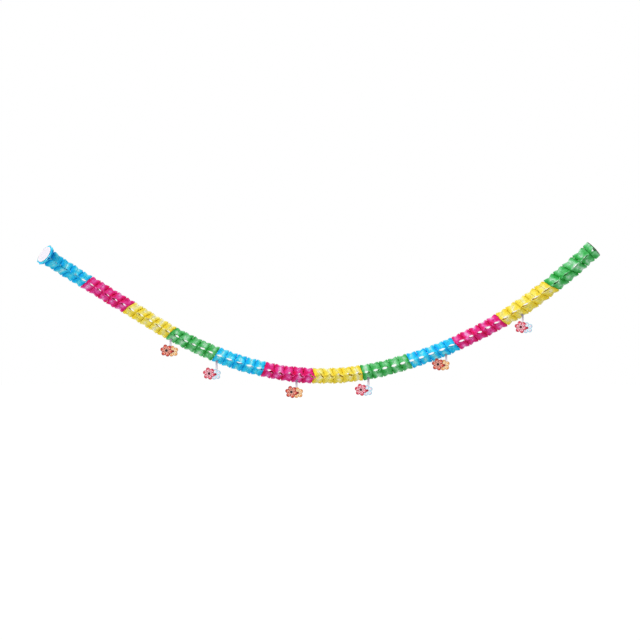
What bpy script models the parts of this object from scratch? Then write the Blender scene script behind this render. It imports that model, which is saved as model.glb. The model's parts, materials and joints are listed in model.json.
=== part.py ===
"""Paper garland: twelve tissue sections pulled out between two card discs, with six flower cards.

Metres, +Z up. The origin is the centre of the outer face of the left end card, and the
garland runs towards +X in a hanging curve. The printed side of the flower cards faces -Y.

The tissue is a stack of cut rings. Each ring has four blunt lobes with notches between them.
Neighbour rings are glued in turn at the lobe ends and at the inner edge of the notches, so the
stack pulls out into a square tube whose open corners show a row of eye-shaped holes.
"""

import math

import bmesh
import bpy
import numpy as np
from mathutils import Matrix, Vector

# Garland
GARLAND_LENGTH = 3.98
SECTION_COUNT = 12
CELLS_PER_SECTION = 5
SECTION_COLOURS = ("blue", "magenta", "yellow", "green")
SECTION_GAP = 0.0004

# Hanging curve: slope of the axis at shares of its length, level being 0
SLOPE_AT = (0.0, 0.216, 0.407, 0.590, 0.791, 1.0)
SLOPES = (-0.615, -0.610, -0.232, 0.220, 0.558, 0.956)
LEFT_TURN_ANGLE = math.radians(39)
LEFT_TURN_LENGTH = 0.34
AXIS_STEPS = 4000

# Cells are longer near both ends, and the tube is wider near the right one
LEFT_PITCH_GROWTH = 0.165
LEFT_GROWTH_LENGTH = 0.34
RIGHT_PITCH_GROWTH = 0.244
RIGHT_WIDTH_GROWTH = 0.15
RIGHT_GROWTH_LENGTH = 0.90

# Tissue ring where the garland is pulled out
TISSUE_WALL = 0.0005
LOBE_RADIUS = 0.034
LOBE_GLUE_WIDTH = 0.048
LOBE_INNER_RADIUS = 0.025
LOBE_INNER_BACK = 0.06
NOTCH_RADIUS = 0.0495
NOTCH_BACK = 0.18
NOTCH_INNER_RADIUS = 0.0385
NOTCH_GLUE_WIDTH = 0.014
LOBE_COUNT = 4

# Tissue ring as it was cut, held open by the end cards
FLAT_LOBE_RADIUS = 0.067
FLAT_LOBE_WIDTH = 0.054
FLAT_NOTCH_RADIUS = 0.057
LEFT_FLARE_LENGTH = 0.075
RIGHT_FLARE_LENGTH = 0.075
FLARE_CURVE = 1.5
RIGHT_FLARE_SHARE = 0.45
END_SHEET_RISE = 0.004

# The rings hang more upright than the axis asks, but for those that the cards hold
SLANT_SHARE = 0.62
CARD_HOLD_LENGTH = 0.22

# The middle cells lean about the vertical and their free corners cross
LEAN_ANGLE = math.radians(18)
SKEW_ANGLE = math.radians(9)
MIDDLE_AT = 1.95
MIDDLE_REACH = 0.50

# End cards
CARD_DIAMETER = 0.113
CARD_THICKNESS = 0.0012
CARD_SIDES = 48
CARD_CLEARANCE = 0.0003
CARD_SHARP_ANGLE = math.radians(40)

# Flower cards
FLOWER_CARD_THICKNESS = 0.0005
FRONT_FLOWER_RADIUS = 0.040
FRONT_FLOWER_TURN = math.radians(-15)
FRONT_PETALS = 6
REAR_FLOWER_RADIUS = 0.036
REAR_FLOWER_TURN = math.radians(-10)
REAR_PETALS = 5
REAR_FLOWER_OFFSET = (0.042, -0.005)
PETAL_DEPTH = 0.34
PETAL_ROUNDNESS = 0.75
POINTS_PER_PETAL = 6
OUTLINE_MERGE = 0.00001
# For each card: the cell that it hangs from, then how far the centre of its front flower
# lies beside and below the lowest glued edge there
FLOWER_HANGS = (
    (15, -0.026, 0.066),
    (20, -0.050, 0.076),
    (28, -0.034, 0.068),
    (35, -0.049, 0.073),
    (43, -0.053, 0.061),
    (51, -0.013, 0.077),
)

# Hanging tabs
TAB_WIDTH = 0.014
TAB_THICKNESS = 0.0004
TAB_GLUED_LENGTH = 0.014
TAB_FOOT_RISE = 0.006
TAB_FORWARD = 0.004
TAB_CLEARANCE = 0.0005

COLOURS = {
    "blue": (0.03, 0.52, 0.90),
    "magenta": (0.80, 0.02, 0.22),
    "yellow": (0.90, 0.66, 0.05),
    "green": (0.06, 0.48, 0.12),
    "card": (0.80, 0.78, 0.82),
    "warm_flower": (0.75, 0.13, 0.07),
    "cool_flower": (0.75, 0.06, 0.16),
    "tab": (0.62, 0.52, 0.60),
}
PAPER_ROUGHNESS = 0.85
CARD_ROUGHNESS = 0.6


def remove_scene_objects():
    for thing in list(bpy.data.objects):
        bpy.data.objects.remove(thing, do_unlink=True)


def make_collection(name):
    group = bpy.data.collections.new(name)
    bpy.context.scene.collection.children.link(group)
    return group


def make_material(name, colour, roughness):
    material = bpy.data.materials.new(name)
    material.use_nodes = True
    shader = material.node_tree.nodes["Principled BSDF"]
    shader.inputs["Base Color"].default_value = (*colour, 1.0)
    shader.inputs["Roughness"].default_value = roughness
    shader.inputs["Metallic"].default_value = 0.0
    return material


def add_object(name, mesh, group, material):
    thing = bpy.data.objects.new(name, mesh)
    mesh.materials.append(material)
    group.objects.link(thing)
    return thing


def blend(a, b, share):
    return a + (b - a) * share


def smooth(value):
    value = min(max(value, 0.0), 1.0)
    return value * value * (3.0 - 2.0 * value)


class HangingAxis:
    """Centre line of the garland, with a front and an up direction at each length along it."""

    def __init__(self):
        self.lengths = np.linspace(0.0, GARLAND_LENGTH, AXIS_STEPS + 1)
        rise = np.arctan(np.interp(self.lengths / GARLAND_LENGTH, SLOPE_AT, SLOPES))
        turn = LEFT_TURN_ANGLE * np.clip(1.0 - self.lengths / LEFT_TURN_LENGTH, 0.0, 1.0)
        steps = np.stack(
            (np.cos(rise) * np.cos(turn), np.cos(rise) * np.sin(turn), np.sin(rise)), axis=1
        )
        self.steps = steps
        middles = 0.5 * (steps[1:] + steps[:-1]) * (GARLAND_LENGTH / AXIS_STEPS)
        self.points = np.concatenate((np.zeros((1, 3)), np.cumsum(middles, axis=0)))

    def along(self, table, length):
        return Vector([float(np.interp(length, self.lengths, table[:, k])) for k in range(3)])

    def frame(self, length):
        """Point, tangent, front and up directions."""
        inside = min(max(length, 0.0), GARLAND_LENGTH)
        tangent = self.along(self.steps, inside).normalized()
        point = self.along(self.points, inside) + tangent * (length - inside)
        front = Vector((0.0, -1.0, 0.0))
        front = (front - tangent * front.dot(tangent)).normalized()
        up = front.cross(tangent)
        return point, tangent, front, up


def right_share(length):
    """0 along the garland and 1 over the last half of the stretch that grows."""
    start = GARLAND_LENGTH - RIGHT_GROWTH_LENGTH
    return smooth((length - start) / (0.5 * RIGHT_GROWTH_LENGTH))


def pitch_growth(length):
    left = smooth(2.0 * (1.0 - length / LEFT_GROWTH_LENGTH))
    return 1.0 + LEFT_PITCH_GROWTH * left + RIGHT_PITCH_GROWTH * right_share(length)


def width_growth(length):
    return 1.0 + RIGHT_WIDTH_GROWTH * right_share(length)


def plane_lengths():
    """Length along the axis of each glue plane, from one end sheet to the other."""
    count = 2 * SECTION_COUNT * CELLS_PER_SECTION
    first = CARD_THICKNESS + CARD_CLEARANCE + TISSUE_WALL
    last = GARLAND_LENGTH - first
    share = np.linspace(0.0, 1.0, count - 1)
    sizes = np.array([pitch_growth(first + (last - first) * value) for value in share])
    inner = np.cumsum(0.5 * (sizes[1:] + sizes[:-1]))
    inner = np.concatenate(((0.0,), inner)) / inner[-1]
    start = first + END_SHEET_RISE
    end = last - END_SHEET_RISE
    return [first] + [float(start + (end - start) * value) for value in inner] + [last]


def openness(length):
    """1 at the left card, where the ring is as wide as it was cut, and 0 along the tube."""
    left = max(1.0 - length / LEFT_FLARE_LENGTH, 0.0) ** FLARE_CURVE
    right = max(1.0 - (GARLAND_LENGTH - length) / RIGHT_FLARE_LENGTH, 0.0) ** FLARE_CURVE
    return left + RIGHT_FLARE_SHARE * right


def free_of_cards(length):
    """0 at both cards and 1 where they no longer hold the rings square to the axis."""
    return smooth(length / CARD_HOLD_LENGTH) * smooth((GARLAND_LENGTH - length) / CARD_HOLD_LENGTH)


def middle_share(length):
    return smooth(1.0 - abs(length - MIDDLE_AT) / MIDDLE_REACH)


def place(axis, length, radius, angle, across=0.0):
    """A point at an angle from the front, up being a quarter turn, moved sideways by across."""
    _, tangent, front, up = axis.frame(length)
    outward = front * math.cos(angle) + up * math.sin(angle)
    sideways = up * math.cos(angle) - front * math.sin(angle)
    offset = outward * radius + sideways * across
    lean = math.tan(LEAN_ANGLE) * middle_share(length)
    slant = math.tan(SLANT_SHARE * math.asin(tangent.z)) * free_of_cards(length)
    point = axis.frame(length + lean * offset.dot(front) - slant * offset.dot(up))[0]
    return point + offset


def lobe_edge(axis, length, index):
    """The two ends of the glued lobe edge number index."""
    open_share = openness(length)
    scale = width_growth(length)
    radius = blend(LOBE_RADIUS * scale, FLAT_LOBE_RADIUS, open_share)
    half = 0.5 * blend(LOBE_GLUE_WIDTH * scale, FLAT_LOBE_WIDTH, open_share)
    angle = math.tau * (index + 0.5) / LOBE_COUNT
    return [place(axis, length, radius, angle, side) for side in (-half, half)]


def notch_edge(axis, length, index):
    """The two ends of the glued inner edge at notch number index."""
    half = 0.5 * NOTCH_GLUE_WIDTH
    angle = math.tau * index / LOBE_COUNT
    radius = NOTCH_INNER_RADIUS * width_growth(length)
    return [place(axis, length, radius, angle, side) for side in (-half, half)]


def free_lobe_point(axis, notch_at, lobe_at, index):
    length = blend(notch_at, lobe_at, LOBE_INNER_BACK)
    angle = math.tau * (index + 0.5) / LOBE_COUNT
    return place(axis, length, LOBE_INNER_RADIUS * width_growth(length), angle)


def free_notch_point(axis, notch_at, lobe_at, index):
    length = blend(notch_at, lobe_at, NOTCH_BACK)
    radius = blend(NOTCH_RADIUS * width_growth(length), FLAT_NOTCH_RADIUS, openness(lobe_at))
    skew = math.copysign(SKEW_ANGLE * middle_share(length), lobe_at - notch_at)
    return place(axis, length, radius, math.tau * index / LOBE_COUNT + skew)


def tissue_mesh(axis, planes, first, last, name):
    """The rings between glue planes first and last, joined along their glued edges."""
    shape = bmesh.new()
    glued = {}
    ends = {first: SECTION_GAP, last: -SECTION_GAP}
    for number in range(first, last + 1):
        length = planes[number] + 0.5 * ends.get(number, 0.0)
        maker = lobe_edge if number % 2 else notch_edge
        for index in range(LOBE_COUNT):
            points = maker(axis, length, index)
            glued[number, index] = [shape.verts.new(point) for point in points]
    for number in range(first, last):
        notch_plane, lobe_plane = (number + 1, number) if number % 2 else (number, number + 1)
        inner = []
        outer = []
        for index in range(LOBE_COUNT):
            ends_at = (planes[notch_plane], planes[lobe_plane])
            inner.append(shape.verts.new(free_lobe_point(axis, *ends_at, index)))
            outer.append(shape.verts.new(free_notch_point(axis, *ends_at, index)))
        for index in range(LOBE_COUNT):
            before, after = glued[lobe_plane, index]
            lobe = inner[index]
            following = (index + 1) % LOBE_COUNT
            near, far = glued[notch_plane, following]
            corner = outer[following]
            next_lobe = inner[following]
            next_before = glued[lobe_plane, following][0]
            patches = (
                (before, after, lobe),
                (after, near, lobe),
                (after, corner, near),
                (corner, far, near),
                (corner, next_before, far),
                (next_before, next_lobe, far),
            )
            for patch in patches:
                shape.faces.new(patch if number % 2 else tuple(reversed(patch)))
    mesh = bpy.data.meshes.new(name)
    shape.to_mesh(mesh)
    shape.free()
    return mesh


def add_tissue(axis, planes, group):
    for section in range(SECTION_COUNT):
        colour = SECTION_COLOURS[section % len(SECTION_COLOURS)]
        name = f"tissue_{section + 1:02d}_{colour}"
        first = 2 * CELLS_PER_SECTION * section
        mesh = tissue_mesh(axis, planes, first, first + 2 * CELLS_PER_SECTION, name)
        material = make_material(name, COLOURS[colour], PAPER_ROUGHNESS)
        thing = add_object(name, mesh, group, material)
        wall = thing.modifiers.new("wall", "SOLIDIFY")
        wall.thickness = TISSUE_WALL
        wall.offset = 0.0


def add_end_card(axis, name, length, inward, group):
    """A disc whose outer face is at length, and whose thickness goes inward along the axis."""
    point, tangent, front, up = axis.frame(length)
    shape = bmesh.new()
    bmesh.ops.create_cone(
        shape,
        cap_ends=True,
        segments=CARD_SIDES,
        radius1=0.5 * CARD_DIAMETER,
        radius2=0.5 * CARD_DIAMETER,
        depth=CARD_THICKNESS,
    )
    mesh = bpy.data.meshes.new(name)
    shape.to_mesh(mesh)
    shape.free()
    mesh.shade_smooth()
    mesh.set_sharp_from_angle(angle=CARD_SHARP_ANGLE)
    card = add_object(name, mesh, group, make_material(name, COLOURS["card"], CARD_ROUGHNESS))
    turned = Matrix((up, -front, tangent)).transposed().to_4x4()
    card.matrix_world = Matrix.Translation(point + tangent * (0.5 * inward * CARD_THICKNESS)) @ turned


def flower_outline(radius, petals, turn):
    """Points round a flower, petals being round lobes with a notch between them."""
    points = []
    count = petals * POINTS_PER_PETAL
    for number in range(count):
        angle = math.tau * number / count
        lobe = abs(math.cos(0.5 * petals * angle)) ** PETAL_ROUNDNESS
        reach = radius * (1.0 - PETAL_DEPTH * (1.0 - lobe))
        points.append((reach * math.sin(angle + turn), reach * math.cos(angle + turn)))
    return points


def outline_object(name, points, thickness, group):
    """A flat card cut to the outline, facing -Y, made from a filled curve."""
    curve = bpy.data.curves.new(name, "CURVE")
    curve.dimensions = "2D"
    curve.fill_mode = "BOTH"
    curve.extrude = 0.5 * thickness
    spline = curve.splines.new("POLY")
    spline.points.add(len(points) - 1)
    for target, (across, height) in zip(spline.points, points):
        target.co = (across, height, 0.0, 1.0)
    spline.use_cyclic_u = True
    drawn = bpy.data.objects.new(name + "_outline", curve)
    group.objects.link(drawn)
    bpy.context.view_layer.update()
    mesh = bpy.data.meshes.new_from_object(drawn.evaluated_get(bpy.context.evaluated_depsgraph_get()))
    bpy.data.objects.remove(drawn, do_unlink=True)
    shape = bmesh.new()
    shape.from_mesh(mesh)
    bmesh.ops.remove_doubles(shape, verts=shape.verts, dist=OUTLINE_MERGE)
    bmesh.ops.rotate(shape, verts=shape.verts, matrix=Matrix.Rotation(math.radians(90), 3, "X"))
    shape.to_mesh(mesh)
    shape.free()
    thing = bpy.data.objects.new(name, mesh)
    group.objects.link(thing)
    return thing


def add_flower_card(name, centre, colour, group, cutters):
    """Two flowers cut as one card, the rear one beside and a little below the front one."""
    front = flower_outline(FRONT_FLOWER_RADIUS, FRONT_PETALS, FRONT_FLOWER_TURN)
    rear = [
        (across + REAR_FLOWER_OFFSET[0], height + REAR_FLOWER_OFFSET[1])
        for across, height in flower_outline(REAR_FLOWER_RADIUS, REAR_PETALS, REAR_FLOWER_TURN)
    ]
    card = outline_object(name, front, FLOWER_CARD_THICKNESS, group)
    second = outline_object(name + "_rear", rear, FLOWER_CARD_THICKNESS, cutters)
    second.hide_render = True
    second.display_type = "WIRE"
    join = card.modifiers.new("rear_flower", "BOOLEAN")
    join.operation = "UNION"
    join.solver = "EXACT"
    join.object = second
    card.data.materials.append(make_material(name, COLOURS[colour], CARD_ROUGHNESS))
    card.location = centre
    second.location = centre


def add_tab(name, rows, outward, group):
    """A strip through rows of edge points, thickened away from the tissue."""
    shape = bmesh.new()
    lines = [[shape.verts.new(point) for point in row] for row in rows]
    for upper, lower in zip(lines, lines[1:]):
        shape.faces.new((upper[0], upper[1], lower[1], lower[0]))
    shape.normal_update()
    if shape.faces[:][0].normal.dot(outward) < 0.0:
        bmesh.ops.reverse_faces(shape, faces=shape.faces)
    mesh = bpy.data.meshes.new(name)
    shape.to_mesh(mesh)
    shape.free()
    tab = add_object(name, mesh, group, make_material(name, COLOURS["tab"], CARD_ROUGHNESS))
    wall = tab.modifiers.new("wall", "SOLIDIFY")
    wall.thickness = TAB_THICKNESS
    wall.offset = 1.0


def add_pendants(axis, planes, group, cutters):
    colours = ("cool_flower", "warm_flower")
    lobe = LOBE_COUNT - 1
    angle = math.tau * (lobe + 0.5) / LOBE_COUNT
    level_half = Vector((0.5 * TAB_WIDTH, 0.0, 0.0))
    for number, (cell, shift, drop) in enumerate(FLOWER_HANGS, start=1):
        length = planes[2 * cell + 1]
        _, tangent, front, up = axis.frame(length)
        low_end, high_end = lobe_edge(axis, length, lobe)
        along = (high_end - low_end).normalized()
        outward = front * math.cos(angle) + up * math.sin(angle)
        lift = outward * (0.5 * TISSUE_WALL + TAB_CLEARANCE)
        half = tangent * (0.5 * TAB_WIDTH)
        bend = low_end + lift
        top = bend + along * TAB_GLUED_LENGTH
        foot = bend - Vector((0.0, TAB_FORWARD, drop - TAB_FOOT_RISE))
        rows = (
            (top - half, top + half),
            (bend - half, bend + half),
            (foot - level_half, foot + level_half),
        )
        add_tab(f"hanging_tab_{number}", rows, outward, group)
        depth = TAB_THICKNESS + CARD_CLEARANCE + 0.5 * FLOWER_CARD_THICKNESS
        centre = foot + Vector((shift, -depth, -TAB_FOOT_RISE))
        add_flower_card(f"flower_card_{number}", centre, colours[number % 2], group, cutters)


def main():
    remove_scene_objects()
    group = make_collection("paper_garland")
    cutters = make_collection("cutters")
    axis = HangingAxis()
    planes = plane_lengths()
    add_end_card(axis, "end_card_left", 0.0, 1.0, group)
    add_tissue(axis, planes, group)
    add_end_card(axis, "end_card_right", GARLAND_LENGTH, -1.0, group)
    add_pendants(axis, planes, group, cutters)


main()
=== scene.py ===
"""Looks of the paper garland: relaxed tissue rings, printed flower cards, end cards and tabs."""

import json
import math

import bmesh
import bpy
import numpy as np
from bpy.props import FloatProperty, FloatVectorProperty, IntProperty, PointerProperty
from mathutils import Matrix, Vector

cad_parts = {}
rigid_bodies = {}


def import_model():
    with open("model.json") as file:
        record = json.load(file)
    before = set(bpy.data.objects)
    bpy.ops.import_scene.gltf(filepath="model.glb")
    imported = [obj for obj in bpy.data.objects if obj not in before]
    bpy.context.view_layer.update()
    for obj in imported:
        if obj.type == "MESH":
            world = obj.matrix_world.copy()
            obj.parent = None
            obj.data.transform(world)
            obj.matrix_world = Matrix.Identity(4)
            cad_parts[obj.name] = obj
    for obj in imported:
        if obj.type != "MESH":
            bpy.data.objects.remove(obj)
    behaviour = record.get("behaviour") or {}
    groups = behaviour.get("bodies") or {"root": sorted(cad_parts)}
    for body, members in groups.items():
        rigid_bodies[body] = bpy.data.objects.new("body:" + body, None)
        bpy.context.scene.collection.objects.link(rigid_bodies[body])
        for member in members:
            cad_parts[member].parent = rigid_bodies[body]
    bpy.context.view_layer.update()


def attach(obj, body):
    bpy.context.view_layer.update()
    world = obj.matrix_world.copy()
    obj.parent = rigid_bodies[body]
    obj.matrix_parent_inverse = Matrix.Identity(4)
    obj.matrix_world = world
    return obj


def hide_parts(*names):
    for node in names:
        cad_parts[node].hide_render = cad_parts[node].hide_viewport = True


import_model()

bl_info = {
    "name": "Paper garland looks",
    "version": (1, 0, 0),
    "blender": (4, 5, 0),
    "location": "3D View > Sidebar > Garland",
    "description": "Makes the tissue, flower cards, end cards and tabs of a pull-out paper garland",
    "category": "Object",
}

BODY = "root"

# Garland, as in the part
GARLAND_LENGTH = 3.98
SECTION_COUNT = 12
CELLS_PER_SECTION = 5
RINGS_PER_SECTION = 2 * CELLS_PER_SECTION
SECTION_COLOURS = ("blue", "magenta", "yellow", "green")
PLANE_COUNT = SECTION_COUNT * RINGS_PER_SECTION + 1

# Hanging curve, as in the part: slope of the axis at shares of its length, level being 0
SLOPE_AT = (0.0, 0.216, 0.407, 0.590, 0.791, 1.0)
SLOPES = (-0.615, -0.610, -0.232, 0.220, 0.558, 0.956)
LEFT_TURN_ANGLE = math.radians(39)
LEFT_TURN_LENGTH = 0.34
AXIS_STEPS = 4000
LEFT_PITCH_GROWTH = 0.165
LEFT_GROWTH_LENGTH = 0.34
RIGHT_PITCH_GROWTH = 0.244
RIGHT_WIDTH_GROWTH = 0.15
RIGHT_GROWTH_LENGTH = 0.90
END_SHEET_RISE = 0.004
SLANT_SHARE = 0.62
CARD_HOLD_LENGTH = 0.22
MIDDLE_AT = 1.95
MIDDLE_REACH = 0.50
LINE_SAMPLES_PER_PLANE = 8

# Where the cards hold the rings open, over a longer stretch at the left than in the part
LEFT_FLARE_LENGTH = 0.095
RIGHT_FLARE_LENGTH = 0.075
FLARE_CURVE = 1.2
RIGHT_FLARE_SHARE = 0.45
SPREAD_ON_CARD = 1.15

# How far the rings lean about the up direction, in degrees, at lengths along the garland
LEAN_AT = (0.0, 0.10, 0.20, 0.30, 0.45, 1.00, 1.45, 1.95, 2.45, 2.90, 3.70, 3.98)
LEANS = (0.0, 6.0, 14.0, 9.0, -5.0, -4.0, 3.0, 19.0, 2.0, -8.0, -13.0, 0.0)

# How far the holes are drawn shut, or opened where below 0, at lengths along the garland
PINCH_AT = (0.0, 0.06, 0.11, 0.22, 0.36, 0.90, 1.40, 2.20, 3.20, 3.45, 3.75, 3.98)
PINCHES = (1.25, 1.15, 0.64, 0.52, 0.0, -0.05, -0.35, -0.75, -0.60, -0.25, 0.20, 0.30)
PINCHED_HEIGHT = 0.045
PINCH_CURVE = 1.5

# Painted shade darkens the holes drawn shut, so that they look like dark slits: from which pinch,
# up to which one, how far from the notch glue and how narrow
SLIT_SHADE_FROM = (0.25, 0.40)
SLIT_SHADE_UP_TO = (0.70, 0.65)
SLIT_SHADE_GLUE_SHARE = 0.25
SLIT_SHADE_CURVE = 3.5

# How far the free corners in front and behind lie ahead, in metres, along the garland
FLAP_AT = (0.0, 0.33, 0.66, 0.99, 1.32, 1.65, 1.99, 2.32, 2.65, 2.99, 3.32, 3.65, 3.98)
FLAP_SHIFTS = (
    0.0, 0.012, -0.006, 0.014, -0.008, 0.011, 0.019, 0.0, -0.019, 0.019, -0.015, 0.004, 0.0
)

# One tissue ring: as it is cut, and how far apart its two glued edges are pulled
LOBE_COUNT = 4
CUT_LOBE = 0.062
CUT_LOBE_HALF_WIDTH = 0.0263
CUT_NOTCH = 0.0545
CUT_LOBE_INNER = 0.0273
CUT_NOTCH_INNER = 0.0404
NOTCH_GLUE_HALF_WIDTH = 0.0066
HALF_PITCH = 0.031
FULLER = 1.04
RING_STEPS_ROUND = 16
RING_STEPS_ACROSS = 6

# Relaxing of the ring
RELAX_STEPS = 1500
RELAX_PASSES = 4
FOLD_STIFFNESS = 0.02
MOTION_KEPT = 0.97
CORRECTION_GAIN = 1.6
GLUE_TOLERANCE = 1e-6
NO_LENGTH = 1e-12

# Cards and tabs, as in the part
CARD_DIAMETER = 0.113
CARD_THICKNESS = 0.0012
CARD_CLEARANCE = 0.0003
FLOWER_CARD_THICKNESS = 0.0005
PETAL_DEPTH = 0.34
PETAL_ROUNDNESS = 0.75
LOBE_RADIUS = 0.034
LOBE_GLUE_WIDTH = 0.048
TISSUE_WALL = 0.0005
TAB_WIDTH = 0.014
TAB_THICKNESS = 0.0004
TAB_GLUED_LENGTH = 0.014
TAB_FOOT_RISE = 0.006
TAB_FORWARD = 0.004
TAB_CLEARANCE = 0.0005

# Centre, radius, number of petals and turn of the two flowers on a card, as in the part
FRONT_FLOWER = ((0.0, 0.0), 0.040, 6, math.radians(-15))
REAR_FLOWER = ((0.042, -0.005), 0.036, 5, math.radians(-10))

# For each flower card, as in the part: the cell that it hangs from, then how far the centre of
# its front flower lies beside and below the lowest glued edge there
FLOWER_HANGS = (
    (15, -0.026, 0.066),
    (20, -0.050, 0.076),
    (28, -0.034, 0.068),
    (35, -0.049, 0.073),
    (43, -0.053, 0.061),
    (51, -0.013, 0.077),
)

# End card mesh
CARD_SIDES = 128
CARD_RIM_FROM = 0.0485
CARD_GROOVE_HALF_WIDTH = 0.0008
CARD_GROOVE_DEPTH = 0.00012
CARD_EDGE_ROUND = 0.0003
CARD_MERGE = 0.00001
CARD_SHARP_ANGLE = math.radians(35)

# Flower card mesh, of two layers
FLOWER_POINTS_PER_PETAL = 22
FLOWER_RINGS = 7
LAYER_STEP = 0.00035
FRONT_LAYER_FROM = (-0.4 * LAYER_STEP, -0.6 * LAYER_STEP)
LAYER_THICKNESS = 0.00022

# Tab mesh
TAB_ROWS = 26
TAB_COLUMNS = 4
TAB_BELLY = 0.0015

# Paper: noise scales for each metre, and how far fibres and patches show
FIBRE_SCALE = 420.0
MOTTLE_SCALE = 55.0
CREASE_SCALE = 70.0
CREASE_WIDTH = 0.25
FIBRE_IN_COLOUR = 0.6
PATCH_IN_COLOUR = 1.4
FIBRE_IN_ROUGHNESS = 0.25
LEAST_ROUGHNESS = 0.62
FIBRE_HEIGHT = 0.25

# Tissue: how many layers lie behind one another, as painted shade inside the tube and at the folds
# by the notch glue and as random patches, and how dark the painted shade in the slits gets
STACK_SCALE = 26.0
STACK_PATCHES = (0.38, 0.66)
INSIDE_SHADE_FROM = (0.95, 0.15)
FEWEST_LAYERS = 0.25
INNER_SHADE_LAYERS = 0.9
PATCH_LAYERS = 1.0
FOLD_SHADE_LAYERS = 0.3
# How dark the painted shade in the slits gets, and at which slit mark it is darkest
SLIT_SHADE_LEVEL = 0.06
SLIT_SHADE_FULL_AT = 0.5
TISSUE_MOTTLE = 0.22
TISSUE_SPECULAR = 0.25
TISSUE_SHOWN_THROUGH = 0.30

# Strength and distance of the bumps on each paper
TISSUE_BUMP = (0.5, 0.0012)
CARD_BUMP = (0.25, 0.0003)
PRINT_BUMP = (0.2, 0.0002)

# Card, print, board and tab papers: mottle and crinkle
CARD_PAPER = (0.10, 0.1)
PRINT_PAPER = (0.10, 0.1)
BOARD_PAPER = (0.15, 0.1)
TAB_PAPER = (0.2, 0.2)
CARD_RIM_BLEND = 0.0006
PRINT_ROUGHNESS = 0.45
# Along the tab, where the painted shade at its top gives way to the foot colour
TAB_SHADE_BLEND = (0.1, 0.75)

# Flower print, as shares of the flower's radius. An oval has its middle and length along the
# petal, its width as a share of the petal's, its edge and its softness.
PETAL_WIDTH = 1.78
PETAL_OVAL = (0.58, 0.34, 1.0, 0.70, 0.04)
SPOT_OVAL = (0.70, 0.13, 0.38, 1.0, 0.10)
DART_OVAL = (0.42, 0.16, 0.26, 1.0, 0.12)
DART_STRENGTH = 0.75
HEART = (0.22, 0.01)
HEART_RING = 0.29
HEART_RING_EDGE = (0.035, 0.008)
VEINS = 13.0
VEIN_EDGE = (0.10, 0.06)
VEIN_STRENGTH = 0.30
THROAT_TO_TIP = (0.30, 0.95)

# Colours of these parts of a flower's print, for the front flower and then for the rear one
PRINT_PARTS = ("Edge Colour", "Tip Colour", "Throat Colour", "Spot Colour", "Heart Colour")
FLOWER_COLOURS = {
    "warm_flower": (
        (
            (0.36, 0.012, 0.016),
            (0.78, 0.26, 0.17),
            (0.90, 0.55, 0.42),
            (0.70, 0.060, 0.008),
            (0.022, 0.001, 0.005),
        ),
        (
            (0.66, 0.30, 0.09),
            (0.90, 0.70, 0.36),
            (0.92, 0.82, 0.58),
            (0.74, 0.26, 0.07),
            (0.20, 0.008, 0.010),
        ),
    ),
    "cool_flower": (
        (
            (0.50, 0.004, 0.045),
            (0.86, 0.40, 0.52),
            (0.92, 0.72, 0.78),
            (0.70, 0.035, 0.060),
            (0.060, 0.001, 0.012),
        ),
        (
            (0.38, 0.62, 0.76),
            (0.72, 0.86, 0.92),
            (0.88, 0.91, 0.93),
            (0.82, 0.48, 0.58),
            (0.34, 0.008, 0.030),
        ),
    ),
}

# Stage
STAGE_REACH = 30.0
VIEW_CENTRE = (1.7694, 0.0948, -0.4216)
FLOOR_COLOUR = (0.90, 0.90, 0.90)
FLOOR_SHOWN_WHITE = 0.80
FLOOR_WHITE_STRENGTH = 1.06
WHITE = (1.0, 1.0, 1.0, 1.0)
KEY_DIRECTION = (0.45, 0.75, -0.85)
KEY_SOFTNESS = math.radians(25)
BACK_DIRECTION = (-0.35, -0.80, -0.55)
BACK_SOFTNESS = math.radians(30)
SENSOR_WIDTH = 36.0


def share_property(name, description, default=1.0):
    return FloatProperty(name=name, description=description, default=default)


def length_property(name, description, default):
    return FloatProperty(name=name, description=description, default=default, unit="LENGTH")


def colour_property(name, description, default):
    return FloatVectorProperty(
        name=name,
        description=description,
        default=default,
        size=3,
        min=0.0,
        max=1.0,
        subtype="COLOR",
    )


class GarlandSizes(bpy.types.PropertyGroup):
    """Sizes of the tissue and cards that a user may change."""

    sheet_thickness: length_property("Sheet thickness", "Thickness of one tissue sheet", 0.00025)
    lean: share_property("Lean", "Share of the rings' lean along the garland")
    pinch: share_property("Pinch", "Share of the holes' pinch along the garland")
    middle_skew: FloatProperty(
        name="Middle skew",
        description="Turn of the free corners half way along",
        default=math.radians(9),
        subtype="ANGLE",
    )
    crinkle_depth: length_property("Crinkle depth", "Depth of the small crinkles", 0.0022)
    crinkle_size: length_property("Crinkle size", "Width of the small crinkles", 0.022)
    sway_depth: length_property("Sway depth", "How far cells stray from a straight tube", 0.006)
    sway_size: length_property("Sway size", "Length over which the tube strays", 0.09)
    seed: IntProperty(name="Seed", description="Picks another set of crinkles", default=4)
    petal_curl: length_property("Petal curl", "How far the petal tips curl forward", 0.0014)


class GarlandColours(bpy.types.PropertyGroup):
    """Paper and print colours, as linear values."""

    blue: colour_property("Blue", "One layer of blue tissue", (0.05, 0.74, 0.98))
    magenta: colour_property("Magenta", "One layer of magenta tissue", (0.90, 0.065, 0.38))
    yellow: colour_property("Yellow", "One layer of yellow tissue", (0.98, 0.88, 0.19))
    green: colour_property("Green", "One layer of green tissue", (0.19, 0.68, 0.27))
    card_face: colour_property("Card face", "Face of the end cards", (0.78, 0.75, 0.82))
    card_rim: colour_property("Card rim", "Rim of the end cards", (0.93, 0.80, 0.82))
    board: colour_property("Board", "Unprinted side of the flower cards", (0.80, 0.77, 0.72))
    # The tab's dark top is painted shade where it comes out from under the tissue
    tab_shaded_top: colour_property("Tab top in shade", "Tab where it leaves the tissue", (0.30, 0.25, 0.33))
    tab_foot: colour_property("Tab foot", "Tab above the flower card", (0.74, 0.67, 0.73))


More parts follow.
